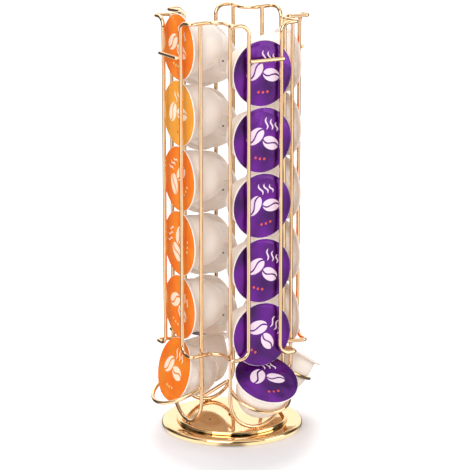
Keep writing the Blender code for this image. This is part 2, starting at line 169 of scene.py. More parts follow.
# Base, turntable plate and rivet. The two discs are pressed from one thickness of sheet
SHEET = 1 * MM
DISC_SIDES = 160
BASE_RADIUS = 59.5 * MM
BASE_BEAD = 2.8 * MM
BASE_BEAD_STEPS = 20
BASE_TOP_Z = 6 * MM
WELL_RADIUS = 40 * MM
WELL_WALL = 3 * MM
WELL_BEND_OUT = 0.6 * MM
WELL_BEND_RISE = 0.2 * MM
WELL_FLOOR_Z = 2.8 * MM
BOSS_RADIUS = 9 * MM
BOSS_FOOT_RADIUS = 11.4 * MM
BOSS_TOP_Z = 5.6 * MM
PLATE_RADIUS = 46.9 * MM
PLATE_SHOULDER = 2.2 * MM
PLATE_OUTER_STEPS = 12
PLATE_INNER_STEPS = 8
PLATE_TOP_Z = 9.2 * MM
RIVET_HOLE_RADIUS = 2.3 * MM
RIVET_SHANK_RADIUS = 2 * MM
RIVET_HEAD_RADIUS = 3.2 * MM
RIVET_HEAD_RISE = 2.1 * MM
RIVET_HEAD_STEPS = 12
RIVET_TAIL_RADIUS = 3.6 * MM
RIVET_TAIL_DEPTH = 1.2 * MM
RIVET_SIDES = 40
BEARING_BALLS = 8

# Camera, fitted to the photograph: degrees, metres, pixels and the sensor's width in millimetres
VIEW_AZIMUTH = -29.075
VIEW_ELEVATION = 14.112
VIEW_DISTANCE = 1.9
VIEW_AIM_SIDE = 2.573 * MM
VIEW_AIM_Z = 165.85 * MM
VIEW_FOCAL_PIXELS = 2282.8
VIEW_CLIP_END = 20
PHOTO_PIXELS = 470
SENSOR_WIDTH = 36

# The floor reaches this far from the axis. It lights the object in one colour and is seen in
# another, which takes the rack's shadow, with a glow that lifts the open floor to white
FLOOR_REACH = 6
FLOOR_COLOUR = "#F2F0EF"
SEEN_FLOOR_COLOUR = "#E6E3E5"
OPEN_FLOOR_GLOW = 0.54

# The glow fades in an oval that reaches further before the rack than behind it, as the soft shade
# does in the photograph, and is at its weakest within a share of the oval
SHADED_FLOOR_GLOW = 0.11
SHADE_AHEAD = 33 * MM
SHADE_HALF_WIDTH = 98 * MM
SHADE_HALF_DEPTH = 135 * MM
SHADE_CORE = 0.55

# How bright the studio is to a mirror, from right behind the rack (-1) to right before it (1).
# The floor and the backdrop are white before and behind, and fall off beside it. Overhead come a
# softbox, the gap before it, the front softbox and the dim room over the floor's near edge.
# SIDE_LEVELS go from the left of the rack (-1) to its right (1)
FLOOR_LEVELS = ((-1.0, 1.0), (-0.9, 1.0), (-0.8, 0.12), (0.1, 0.12), (0.45, 1.0), (0.97, 1.0),
                (0.99, 0.3), (1.0, 0.3))
ROOM_LEVELS = ((-1.0, 1.0), (-0.72, 1.0), (-0.6, 0.2), (-0.4, 0.2), (-0.25, 1.0), (0.2, 1.0),
               (0.3, 0.2), (0.4, 0.2), (0.5, 1.0), (0.64, 1.0), (0.74, 0.02), (1.0, 0.02))
SIDE_LEVELS = ((-1.0, 0.1), (-0.85, 0.1), (-0.6, 1.0), (0.6, 1.0), (0.85, 0.1), (1.0, 0.1))
MIRROR_STRENGTH = 1.4

# What the world gives as light and as background, and the softboxes: name, place, width, watts
AMBIENT_STRENGTH = 0.6
BACKDROP_STRENGTH = 1.0
SOFTBOXES = (
    ("key_softbox", (-1.85, -1.5, 1.4), 1.8, 36),
    ("fill_softbox", (1.7, -1.7, 0.45), 1.6, 25),
    ("top_softbox", (0.2, 1.1, 2.2), 1.7, 22),
)
SOFTBOX_AIM = Vector((0, 0, 0.18))


def linear(hex_colour):
    """An sRGB hex colour as the linear values that a shader takes."""
    values = []
    for start in (1, 3, 5):
        value = int(hex_colour[start:start + 2], 16) / 255
        values.append(value / 12.92 if value <= 0.04045 else ((value + 0.055) / 1.055) ** 2.4)
    return (*values, 1)


def add_node(tree, kind, settings=None, inputs=None):
    """Add a node with its settings; an input is a value or another node's output."""
    node = tree.nodes.new(kind)
    for key, value in (settings or {}).items():
        setattr(node, key, value)
    for key, value in (inputs or {}).items():
        if isinstance(value, bpy.types.NodeSocket):
            tree.links.new(value, node.inputs[key])
        else:
            node.inputs[key].default_value = value
    return node


def new_material(name):
    """A material with only its output and a Principled shader."""
    material = bpy.data.materials.new(name)
    material.use_nodes = True
    tree = material.node_tree
    return material, tree, tree.nodes["Principled BSDF"]


# The middle band of a noise texture, which nearly all of its values lie in
NOISE_LOW = 0.3
NOISE_HIGH = 0.7


def gold_plated(name, colours, roughness, cloud_mm, wear):
    """Bright gold plating over steel: a mirror that clouds a little with handling.

    Where it is clouded it is rougher by the wear and takes the second colour.
    """
    material, tree, shader = new_material(name)
    clear, clouded = colours
    place = add_node(tree, "ShaderNodeTexCoord")
    cloud = add_node(tree, "ShaderNodeTexNoise", None,
                     {"Vector": place.outputs["Object"], "Scale": 1 / (cloud_mm * MM),
                      "Detail": 3.0})
    rough = add_node(tree, "ShaderNodeMapRange", None,
                     {"Value": cloud.outputs["Fac"], "From Min": NOISE_LOW, "From Max": NOISE_HIGH,
                      "To Min": roughness, "To Max": roughness + wear})
    tone = add_node(tree, "ShaderNodeMix", {"data_type": "RGBA"},
                    {"Factor": cloud.outputs["Fac"], "A": linear(clear), "B": linear(clouded)})
    tree.links.new(rough.outputs["Result"], shader.inputs["Roughness"])
    tree.links.new(tone.outputs[2], shader.inputs["Base Color"])
    shader.inputs["Metallic"].default_value = 1
    return material


def moulded_plastic(name, colours, roughness, flow_mm, grain_mm, depth_mm, light_mm):
    """Injection moulded polypropylene: waxy, a little uneven in tone, with a fine grain.

    A little of the light goes into it and comes out warmer, red furthest of all.
    """
    material, tree, shader = new_material(name)
    colour, shade = colours
    place = add_node(tree, "ShaderNodeTexCoord")
    flow = add_node(tree, "ShaderNodeTexNoise", None,
                    {"Vector": place.outputs["Object"], "Scale": 1 / (flow_mm * MM),
                     "Detail": 2.0})
    tone = add_node(tree, "ShaderNodeMix", {"data_type": "RGBA"},
                    {"Factor": flow.outputs["Fac"], "A": linear(colour), "B": linear(shade)})
    grain = add_node(tree, "ShaderNodeTexNoise", None,
                     {"Vector": place.outputs["Object"], "Scale": 1 / (grain_mm * MM),
                      "Detail": 2.0})
    bump = add_node(tree, "ShaderNodeBump", None,
                    {"Height": grain.outputs["Fac"], "Strength": 0.12, "Distance": depth_mm * MM})
    tree.links.new(tone.outputs[2], shader.inputs["Base Color"])
    tree.links.new(bump.outputs["Normal"], shader.inputs["Normal"])
    shader.inputs["Roughness"].default_value = roughness
    shader.inputs["Subsurface Weight"].default_value = 0.12
    shader.inputs["Subsurface Radius"].default_value = (1.0, 0.7, 0.5)
    shader.inputs["Subsurface Scale"].default_value = light_mm * MM
    return material


def plain_finish(name, colour, roughness, metallic=0.0, grain_mm=1.0, depth_mm=0.05):
    """An even colour with a fine grain, for the small and half hidden parts."""
    material, tree, shader = new_material(name)
    place = add_node(tree, "ShaderNodeTexCoord")
    grain = add_node(tree, "ShaderNodeTexNoise", None,
                     {"Vector": place.outputs["Object"], "Scale": 1 / (grain_mm * MM),
                      "Detail": 3.0})
    bump = add_node(tree, "ShaderNodeBump", None,
                    {"Height": grain.outputs["Fac"], "Strength": 0.4, "Distance": depth_mm * MM})
    tree.links.new(bump.outputs["Normal"], shader.inputs["Normal"])
    shader.inputs["Base Color"].default_value = linear(colour)
    shader.inputs["Roughness"].default_value = roughness
    shader.inputs["Metallic"].default_value = metallic
    return material


# Marks printed on a lid, in millimetres from its middle: centre, turn in degrees, half sizes
BEANS = (
    ((-7.3, 3.2), 38, (8.8, 5.8)),
    ((7.2, -2.4), -24, (7.8, 5.2)),
)
STEAM = (
    ((2.4, 13.6), 0, (0.75, 4.9)),
    ((7.2, 12.6), 0, (0.75, 4.4)),
    ((11.8, 10.6), 0, (0.75, 3.7)),
)
DOTS = (
    ((-5.8, -14.2), 0, (1.1, 1.1)),
    ((-1.7, -15.2), 0, (1.1, 1.1)),
    ((2.5, -15.4), 0, (1.1, 1.1)),
)

# How a bean's seam and a curl of steam wave, in a mark's own coordinates: radians for each unit
# along it, and units to each side. The seam is bare foil to this distance from its line
SEAM_WAVE = (2.9, 0.3)
SEAM_HALF_WIDTH = 0.13
STEAM_WAVE = (3.0, 1.5)


def lid_print():
    """A node group that marks where a lid's cream ink and its small accents are printed.

    The marks are two coffee beans with their seams, three curls of steam and a row of dots.
    """
    tree = bpy.data.node_groups.new("lid_print", "ShaderNodeTree")
    tree.interface.new_socket("Ink", in_out="OUTPUT", socket_type="NodeSocketFloat")
    tree.interface.new_socket("Accent", in_out="OUTPUT", socket_type="NodeSocketFloat")
    result = add_node(tree, "NodeGroupOutput")
    place = add_node(tree, "ShaderNodeTexCoord")
    flat = add_node(tree, "ShaderNodeMapping", None,
                    {"Vector": place.outputs["Object"], "Scale": (1 / MM, 1 / MM, 0)})

    def mark_place(mark):
        """A mark's own coordinates, which reach 1 at its edge."""
        centre, turn, half = mark
        moved = add_node(tree, "ShaderNodeVectorMath", {"operation": "SUBTRACT"},
                         {0: flat.outputs[0], 1: (*centre, 0)})
        turned = add_node(tree, "ShaderNodeVectorRotate", {"rotation_type": "Z_AXIS"},
                          {"Vector": moved.outputs[0], "Angle": math.radians(-turn)})
        return add_node(tree, "ShaderNodeVectorMath", {"operation": "DIVIDE"},
                        {0: turned.outputs[0], 1: (*half, 1)}).outputs[0]

    def inside(vector):
        """1 where a mark's own coordinates lie within its edge."""
        length = add_node(tree, "ShaderNodeVectorMath", {"operation": "LENGTH"}, {0: vector})
        return add_node(tree, "ShaderNodeMath", {"operation": "LESS_THAN"},
                        {0: length.outputs["Value"], 1: 1.0}).outputs[0]

    def swing(along, wave):
        """How far a waving line stands aside at a distance along it."""
        turning, reach = wave
        angle = add_node(tree, "ShaderNodeMath", {"operation": "MULTIPLY"}, {0: along, 1: turning})
        sine = add_node(tree, "ShaderNodeMath", {"operation": "SINE"}, {0: angle.outputs[0]})
        return add_node(tree, "ShaderNodeMath", {"operation": "MULTIPLY"},
                        {0: sine.outputs[0], 1: reach}).outputs[0]

    def any_of(marks):
        """1 where any of the marks is."""
        joined = marks[0]
        for mark in marks[1:]:
            joined = add_node(tree, "ShaderNodeMath", {"operation": "MAXIMUM"},
                              {0: joined, 1: mark}).outputs[0]
        return joined

    inked = []
    for mark in BEANS:
        own = mark_place(mark)
        axes = add_node(tree, "ShaderNodeSeparateXYZ", None, {0: own})
        aside = add_node(tree, "ShaderNodeMath", {"operation": "SUBTRACT"},
                         {0: axes.outputs[1], 1: swing(axes.outputs[0], SEAM_WAVE)})
        off_seam = add_node(tree, "ShaderNodeMath", {"operation": "ABSOLUTE"},
                            {0: aside.outputs[0]})
        halves = add_node(tree, "ShaderNodeMath", {"operation": "GREATER_THAN"},
                          {0: off_seam.outputs[0], 1: SEAM_HALF_WIDTH})
        bean = add_node(tree, "ShaderNodeMath", {"operation": "MULTIPLY"},
                        {0: inside(own), 1: halves.outputs[0]})
        inked.append(bean.outputs[0])
    for mark in STEAM:
        axes = add_node(tree, "ShaderNodeSeparateXYZ", None, {0: mark_place(mark)})
        aside = add_node(tree, "ShaderNodeMath", {"operation": "ADD"},
                         {0: axes.outputs[0], 1: swing(axes.outputs[1], STEAM_WAVE)})
        curl = add_node(tree, "ShaderNodeCombineXYZ", None,
                        {0: aside.outputs[0], 1: axes.outputs[1]})
        inked.append(inside(curl.outputs[0]))
    tree.links.new(any_of(inked), result.inputs["Ink"])
    tree.links.new(any_of([inside(mark_place(mark)) for mark in DOTS]), result.inputs["Accent"])
    return tree


# Lids: the print's tone drifts over about 22 mm, partly its own uneven tone and partly painted
# sheen, lighter and darker patches that stand in for the foil's gloss, strongest on the purple;
# and the heat seal pulls shallow creases about 5 mm apart, which break up the lacquer's gloss
FOIL_DRIFT_AND_SHEEN_MM = 22
FOIL_CREASE_MM = 5
FOIL_CREASE_DEPTH_MM = 0.3
FOIL_ROUGHNESS = 0.2


def printed_foil(name, marks, colours, sheen):
    """Lacquered aluminium foil, printed: glossy, with the small creases of a heat seal.

    Its ground drifts slowly between two tones: partly the print's own uneven tone, partly a
    painted sheen of lighter and darker patches. The sheen argument is how much of the foil's own
    metal comes through that ground; the cream ink is laid on thickly and hides it.
    """
    material, tree, shader = new_material(name)
    ground_colour, ground_shade, ink_colour, accent_colour = colours
    place = add_node(tree, "ShaderNodeTexCoord")
    # The drift's lighter and darker patches are partly the print's tone and partly painted sheen
    drift_and_sheen = add_node(tree, "ShaderNodeTexNoise", None,
                     {"Vector": place.outputs["Object"], "Scale": 1 / (FOIL_DRIFT_AND_SHEEN_MM * MM),
                      "Detail": 1.0})
    tide_and_sheen = add_node(tree, "ShaderNodeMapRange", None,
                    {"Value": drift_and_sheen.outputs["Fac"], "From Min": NOISE_LOW,
                     "From Max": NOISE_HIGH})
    ground = add_node(tree, "ShaderNodeMix", {"data_type": "RGBA"},
                      {"Factor": tide_and_sheen.outputs["Result"], "A": linear(ground_colour),
                       "B": linear(ground_shade)})
    printed = add_node(tree, "ShaderNodeGroup", {"node_tree": marks})
    inked = add_node(tree, "ShaderNodeMix", {"data_type": "RGBA"},
                     {"Factor": printed.outputs["Ink"], "A": ground.outputs[2],
                      "B": linear(ink_colour)})
    finished = add_node(tree, "ShaderNodeMix", {"data_type": "RGBA"},
                        {"Factor": printed.outputs["Accent"], "A": inked.outputs[2],
                         "B": linear(accent_colour)})
    metal = add_node(tree, "ShaderNodeMapRange", None,
                     {"Value": printed.outputs["Ink"], "To Min": sheen, "To Max": 0.0})
    crease = add_node(tree, "ShaderNodeTexNoise", None,
                      {"Vector": place.outputs["Object"], "Scale": 1 / (FOIL_CREASE_MM * MM),
                       "Detail": 3.0})
    bump = add_node(tree, "ShaderNodeBump", None,
                    {"Height": crease.outputs["Fac"], "Strength": 0.6,
                     "Distance": FOIL_CREASE_DEPTH_MM * MM})
    tree.links.new(finished.outputs[2], shader.inputs["Base Color"])
    tree.links.new(metal.outputs["Result"], shader.inputs["Metallic"])
    tree.links.new(bump.outputs["Normal"], shader.inputs["Normal"])
    shader.inputs["Roughness"].default_value = FOIL_ROUGHNESS
    return material


# Steel wire, drawn, bent, spot welded and then plated with bright gold: a pale warm mirror, softer
# than sheet, since drawn wire isn't polished. Handling clouds it in patches about 9 mm long
WIRE_GOLD = gold_plated("gold_plated_wire", ("#F2CFA6", "#E8BE90"), 0.09, 9, 0.08)

# Pressed steel sheet, buffed before it was plated: a clear mirror that shows the wires and
# capsules over it, with wider and fainter clouds from wiping, about 22 mm across
PLATE_GOLD = gold_plated("polished_gold_plate", ("#F7D6A4", "#F0C58C"), 0.04, 22, 0.05)

# Polypropylene, injection moulded: warm white and waxy, paler where the light comes through the
# thin wall, and half a shade uneven where the melt flowed, in patches about 14 mm across. The
# mould's spark grain is about 0.05 mm, too fine to show, and is drawn at 0.9 mm, a pixel or so
CUP_PLASTIC = moulded_plastic("warm_white_capsule_shell", ("#FAF1E9", "#F5E7DC"), 0.36,
                              flow_mm=14, grain_mm=0.9, depth_mm=0.05, light_mm=2.5)

# The pit in the outlet is the same shell, so deep and narrow that it looks like a dull brown dot:
# that brown is painted shade, not the plastic's own colour
PIT_PAINTED_SHADE = plain_finish("outlet_pit_painted_shade", "#8C7C70", 0.5)

# Foam rubber, cut from sheet: black and dull, with a torn look. Its cells are about 0.3 mm and
# are drawn at 0.8 mm to show
FOAM = plain_finish("black_foam_rubber", "#1B1B1D", 0.85, grain_mm=0.8, depth_mm=0.3)

# Hardened chrome steel, ground: a cool grey, bright but not a mirror. Grinding marks are a few
# hundredths of a millimetre wide and are drawn at 1 mm to show
BRIGHT_STEEL = plain_finish("ground_bearing_steel", "#C9CACC", 0.22, metallic=1.0)

# Nylon without pigment, moulded: milky and half dull, with its grain drawn at 1 mm likewise
NYLON = plain_finish("natural_nylon", "#EDEBE3", 0.5)

# Aluminium foil, lacquered and printed. The purple ink is a thin glaze: the foil shines through
# it, and darkens it where the studio is dim. Orange and amber lie on a white coat, so they look
# flatter and brighter. Each has two tones of its ground, then its ink and its accent
MARKS = lid_print()
# On the purple the two ground tones lie far apart, so its drift is in large part painted sheen
PURPLE_FOIL = printed_foil("purple_printed_foil", MARKS,
                           ("#6A1390", "#38054F", "#F0D8E6", "#D8503C"), 0.55)
ORANGE_FOIL = printed_foil("orange_printed_foil", MARKS,
                           ("#FF9226", "#FF7810", "#FFE9CE", "#FFD98C"), 0.12)
AMBER_FOIL = printed_foil("amber_printed_foil", MARKS,
                          ("#FFB444", "#FCA332", "#FFF2DC", "#E8622A"), 0.12)
FOILS = {"front": PURPLE_FOIL, "right": ORANGE_FOIL, "back": PURPLE_FOIL, "left": ORANGE_FOIL}
AMBER_CAPSULE = "left_capsule_2"


def column_matrix(angle):
    """The turn that brings a piece from the front column's place to its own."""
    return Matrix.Rotation(math.radians(angle), 4, "Z")


def in_column(outward, aside, height):
    """A point in a column's own frame, before the column is turned to its place."""
    return Vector((aside, -outward, height))


def arc(centre, radius, start, end, steps):
    """Points of a flat arc from one angle to another, in degrees."""
    points = []
    for step in range(steps + 1):
        angle = math.radians(start + (end - start) * step / steps)
        points.append(Vector(centre) + radius * Vector((math.cos(angle), math.sin(angle))))
    return points


def smooth_curve(points, steps):
    """A Catmull-Rom curve through the points, with its ends repeated."""
    padded = [points[0], *points, points[-1]]
    curve = []
    for index in range(len(points) - 1):
        before, start, end, after = padded[index:index + 4]
        for step in range(steps):
            t = step / steps
            curve.append(start + (end - before) * t / 2
                         + (2 * before - 5 * start + 4 * end - after) * t * t / 2
                         + (3 * start - before - 3 * end + after) * t ** 3 / 2)
    return curve + [points[-1]]


def path_lengths(points):
    """How far along a path each of its points lies."""
    lengths = [0]
    for start, end in zip(points, points[1:]):
        lengths.append(lengths[-1] + (end - start).length)
    return lengths


def point_along(points, lengths, distance):
    """The point at a distance along a path."""
    for index in range(1, len(points)):
        if distance <= lengths[index]:
            stretch = lengths[index] - lengths[index - 1]
            share = (distance - lengths[index - 1]) / stretch
            return points[index - 1].lerp(points[index], share)
    return points[-1].copy()


def guide_path():
    """Down behind the flanges, round under the column and up again."""
    path = [in_column(GUIDE_OUT, -GUIDE_SIDE, GUIDE_TOP_Z)]
    for aside, height in arc((0, GUIDE_ARC_Z), GUIDE_SIDE, 180, 360, HALF_ROUND_STEPS):
        path.append(in_column(GUIDE_OUT, aside, height))
    path.append(in_column(GUIDE_OUT, GUIDE_SIDE, GUIDE_TOP_Z))
    return path


def loop_plan():
    """A corner loop's top and bottom wires seen from above, in the frame of their corner."""
    ear_centre = (POST_OUT - EAR_RADIUS, EAR_SIDE - EAR_RADIUS)
    weld_turn = math.radians(WELD_ANGLE)
    weld = Vector((GUIDE_OUT, GUIDE_SIDE))
    weld += WIRE_PITCH * Vector((math.cos(weld_turn), math.sin(weld_turn)))
    ear = arc(ear_centre, EAR_RADIUS, 0, EAR_TURN, BEND_STEPS)
    half = [Vector((POST_OUT, POST_SIDE)), *ear, weld]
    corner = [Vector((aside - outward, outward + aside)) / math.sqrt(2)
              for outward, aside in half]
    weld_side, weld_out = corner.pop()
    dip_out = (GUIDE_OUT + GUIDE_SIDE) / math.sqrt(2) - LOOP_DIP
    shoulder_out = dip_out + (weld_out - dip_out) * DIP_DEPTH_SHARE
    wave = [corner[-1], Vector((weld_side, weld_out)),
            Vector((weld_side * DIP_SIDE_SHARE, shoulder_out))]
    wave += [Vector((0, dip_out))] + [Vector((-side, out)) for side, out in wave[::-1]]
    mirrored = [Vector((-side, out)) for side, out in corner[::-1]]
    return corner[:-1] + smooth_curve(wave, BEND_STEPS) + mirrored[1:]


def loop_path():
    """The closed loop: along the top, down a post, along the bottom and up the other post."""
    plan = loop_plan()
    lengths = path_lengths(plan)
    bend = []
    for point in arc((LOOP_CORNER_RADIUS, LOOP_CORNER_RADIUS), LOOP_CORNER_RADIUS, 180, 270,
                     BEND_STEPS):
        bend.append((point.x, point.y))
    far_bend = [(lengths[-1] - distance, drop) for distance, drop in bend[::-1]]
    between = [(distance, 0) for distance in lengths if bend[-1][0] < distance < far_bend[0][0]]
    top = []
    bottom = []
    for distance, drop in bend + between + far_bend:
        side, out = point_along(plan, lengths, distance)
        top.append(in_column(out, side, LOOP_TOP_Z - drop))
        bottom.append(in_column(out, side, LOOP_BOTTOM_Z + drop))
    return top + bottom[::-1]


def hoop_path():
    """From one guide wire out round the bottom capsule and back to the other."""
    lean = math.atan2(HOOP_SIDE_Z - HOOP_FRONT_Z, HOOP_REACH - GUIDE_OUT)
    end_out = GUIDE_OUT + CONTACT_GAP + WIRE_RADIUS * (1 + math.sin(lean))
    plan = [Vector((-GUIDE_SIDE, end_out))]
    plan += arc((0, HOOP_REACH - GUIDE_SIDE), GUIDE_SIDE, 180, 0, HALF_ROUND_STEPS)
    plan.append(Vector((GUIDE_SIDE, end_out)))
    rise = (HOOP_SIDE_Z - HOOP_FRONT_Z) / (HOOP_REACH - end_out)
    return [in_column(out, side, HOOP_FRONT_Z + rise * (HOOP_REACH - out)) for side, out in plan]


def brace_path():
    """A short sloping wire across a corner, between the guide wires of two columns."""
    corner_out = (GUIDE_OUT + GUIDE_SIDE) / math.sqrt(2)
    corner_side = (GUIDE_OUT - GUIDE_SIDE) / math.sqrt(2)
    lean = math.atan2(BRACE_HIGH_Z - BRACE_LOW_Z, 2 * corner_side)
    end_side = corner_side - CONTACT_GAP - WIRE_RADIUS * (1 + math.sin(lean))
    return [in_column(corner_out, -end_side, BRACE_LOW_Z),
            in_column(corner_out, end_side, BRACE_HIGH_Z)]


def cross_bar_path():
    """The short bar across a column's two posts."""
    out = POST_OUT + WIRE_PITCH
    end = POST_SIDE + CROSS_BAR_OVERHANG
    return [in_column(out, -end, CROSS_BAR_Z), in_column(out, end, CROSS_BAR_Z)]


def add_weld(work, centre, half_sizes):
    """A small rounded lump of weld metal."""
    lump = Matrix.Translation(centre) @ Matrix.Diagonal((*half_sizes, 1))
    bmesh.ops.create_uvsphere(work, u_segments=WELD_SEGMENTS, v_segments=WELD_RINGS, radius=1,
                              matrix=lump)


def tube_stations(points, radius, closed):
    """Where a round wire's rings stand: their centres, directions, sideways axes and radii."""
    count = len(points)
    directions = []
    for index in range(count):
        before = points[index - 1] if index or closed else points[index]
        after = points[(index + 1) % count] if index < count - 1 or closed else points[index]
        directions.append((after - before).normalized())
    normal = directions[0].orthogonal().normalized()
    stations = []
    for index in range(count):
        if index:
            normal = directions[index - 1].rotation_difference(directions[index]) @ normal
        stations.append((points[index], directions[index], normal.copy(), radius))
    if closed:
        # The axes carried round a closed path come back turned; the turn is shared out along it
        normal = directions[-1].rotation_difference(directions[0]) @ normal
        first = stations[0][2]
        twist = math.atan2(first.cross(normal).dot(directions[0]), first.dot(normal))
        for index, (point, direction, side, size) in enumerate(stations):
            share = Matrix.Rotation(-twist * index / count, 3, direction)
            stations[index] = (point, direction, share @ side, size)
        return stations
    # An open wire's cut ends are eased by a smaller ring at each
    tip = radius - WIRE_END_ROUND
    start, start_direction, start_side, _ = stations[0]
    end, end_direction, end_side, _ = stations[-1]
    stations[0] = (start + start_direction * WIRE_END_ROUND, start_direction, start_side, radius)
    stations[-1] = (end - end_direction * WIRE_END_ROUND, end_direction, end_side, radius)
    return [(start, start_direction, start_side, tip), *stations,
            (end, end_direction, end_side, tip)]


def add_tube(work, points, radius, closed=False):
    """A round wire along a path, with softened ends."""
    rings = []
    for point, direction, side, size in tube_stations(points, radius, closed):
        other = direction.cross(side)
        ring = []
        for step in range(WIRE_SIDES):
            turn = math.tau * step / WIRE_SIDES
            spoke = side * math.cos(turn) + other * math.sin(turn)
            ring.append(work.verts.new(point + spoke * size))
        rings.append(ring)
    pairs = list(zip(rings, rings[1:]))
    if closed:
        pairs.append((rings[-1], rings[0]))
    for low, high in pairs:
        for step in range(WIRE_SIDES):
            following = (step + 1) % WIRE_SIDES
            work.faces.new((low[step], low[following], high[following], high[step]))
    if not closed:
        work.faces.new(rings[0][::-1])
        work.faces.new(rings[-1])


def finish_mesh(work, name, sharp_angle=SHARP_ANGLE):
    """Turn the work into a mesh that is shaded smooth but for its sharp edges."""
    mesh = bpy.data.meshes.new(name)
    bmesh.ops.recalc_face_normals(work, faces=work.faces)
    work.to_mesh(mesh)
    work.free()
    mesh.shade_smooth()
    mesh.set_sharp_from_angle(angle=math.radians(sharp_angle))
    return mesh


def turned_mesh(name, profile, sides, closed=False, sharp_angle=SHARP_ANGLE):
    """Turn a profile of (radius, height) points once round the Z axis."""
    work = bmesh.new()
    verts = [work.verts.new((radius, 0, height)) for radius, height in profile]
    edges = [work.edges.new(pair) for pair in zip(verts, verts[1:])]
    if closed:
        edges.append(work.edges.new((verts[-1], verts[0])))
    bmesh.ops.spin(work, geom=verts + edges, cent=(0, 0, 0), axis=(0, 0, 1),
                   angle=math.tau, steps=sides, use_merge=True)
    bmesh.ops.remove_doubles(work, verts=work.verts, dist=MERGE_DISTANCE)
    return finish_mesh(work, name, sharp_angle)


def add_piece(name, mesh, materials, body, nodes, matrix=None):
    """Put a piece in the scene, on its body and the solids that it stands for."""
    piece = bpy.data.objects.new(name, mesh)
    bpy.context.scene.collection.objects.link(piece)
    if not mesh.materials:
        for material in materials:
            mesh.materials.append(material)
    if matrix is not None:
        piece.matrix_world = matrix
    for index, material in enumerate(materials):
        piece.material_slots[index].link = "OBJECT"
        piece.material_slots[index].material = material
    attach(piece, body)
    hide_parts(*nodes)


def make_wires():
    """Every wire of the rack, with the weld metal that joins it to its neighbours."""
    weld_turn = math.radians(WELD_ANGLE)
    weld_out = GUIDE_OUT + WIRE_PITCH / 2 * math.cos(weld_turn)
    weld_side = GUIDE_SIDE + WIRE_PITCH / 2 * math.sin(weld_turn)
    guide_welds = [(in_column(weld_out, side * weld_side, height), LOOP_WELD)
                   for side in (-1, 1) for height in (LOOP_TOP_Z, LOOP_BOTTOM_Z)]
    guide_welds.append((in_column(GUIDE_OUT, 0, PLATE_TOP_Z + FOOT_WELD_RISE), FOOT_WELD))
    bar_welds = [(in_column(POST_OUT + WIRE_PITCH / 2, side * POST_SIDE, CROSS_BAR_Z), BAR_WELD)
                 for side in (-1, 1)]
    hoop = hoop_path()
    hoop_welds = [(end + HOOP_WELD_SHIFT, HOOP_WELD) for end in (hoop[0], hoop[-1])]
    brace = brace_path()
    brace_welds = [(end, BRACE_WELD) for end in brace]

    # Piece, solid, path, welds, and how much further round than its column it stands
    wires = (
        ("guide", "guide_wire", guide_path(), guide_welds, 0),
        ("bar", "cross_bar", cross_bar_path(), bar_welds, 0),
        ("cradle", "cradle_hoop", hoop, hoop_welds, 0),
        ("loop", "corner_loop", loop_path(), (), CORNER_TURN),
        ("brace", "corner_brace", brace, brace_welds, CORNER_TURN),
    )
    for column, angle in COLUMNS.items():
        for wire, solid, path, welds, further in wires:
            name = f"{column}_{wire}"
            work = bmesh.new()
            add_tube(work, path, WIRE_RADIUS, closed=wire == "loop")
            for centre, half_sizes in welds:
                add_weld(work, centre, half_sizes)
            add_piece(name, finish_mesh(work, name), [WIRE_GOLD], "carousel",
                      [f"{column}_{solid}"], column_matrix(angle + further))


def cup_radius(depth):
    """The wall's radius at a depth behind the flange."""
    return CUP_RADIUS * math.sqrt(1 - (depth / DOME_DEPTH) ** DOME_POWER)


def cup_mesh():
    """The moulded shell: rolled flange, domed and grooved wall, and the outlet in its floor."""
    sunk = FLANGE_THICK - FACE_SINK
    profile = [(0, sunk), (LID_RADIUS - FACE_SLOPE_IN, sunk),
               (LID_RADIUS + FACE_SLOPE_OUT, FLANGE_THICK)]
    profile += arc((FLANGE_RADIUS - FLANGE_EDGE, FLANGE_EDGE), FLANGE_EDGE, 90, -90,
                   FLANGE_EDGE_STEPS)
    profile += [(CUP_RADIUS + radius * MM, height * MM) for radius, height in NECK_FILLET_MM]
    for ring in range(1, WALL_RINGS):
        depth = CUP_DEPTH * ring / WALL_RINGS
        profile.append((cup_radius(depth), -depth))
        if ring in GROOVED_RINGS:
            profile.append((cup_radius(depth) - GROOVE_DEPTH, -depth - GROOVE_WIDTH / 2))
            profile.append((cup_radius(depth + GROOVE_WIDTH), -depth - GROOVE_WIDTH))
    floor = cup_radius(CUP_DEPTH)
    profile += [(floor + radius * MM, height * MM - CUP_DEPTH)
                for radius, height in STANDING_RING_MM]
    profile += [(radius * MM, height * MM - CUP_DEPTH) for radius, height in OUTLET_MM]
    mesh = turned_mesh("capsule_cup", profile, CUP_SIDES, sharp_angle=CUP_SHARP_ANGLE)
    mesh.materials.append(CUP_PLASTIC)
    mesh.materials.append(PIT_PAINTED_SHADE)
    # Faces deep in the outlet's pit take the painted shade, a dull brown in the second slot
    for polygon in mesh.polygons:
        middle = polygon.center
        in_pit_shade = math.hypot(middle.x, middle.y) < OUTLET_PIT_RADIUS
        if in_pit_shade and middle.z < OUTLET_HEIGHT - CUP_DEPTH:
            polygon.material_index = 1
    return mesh


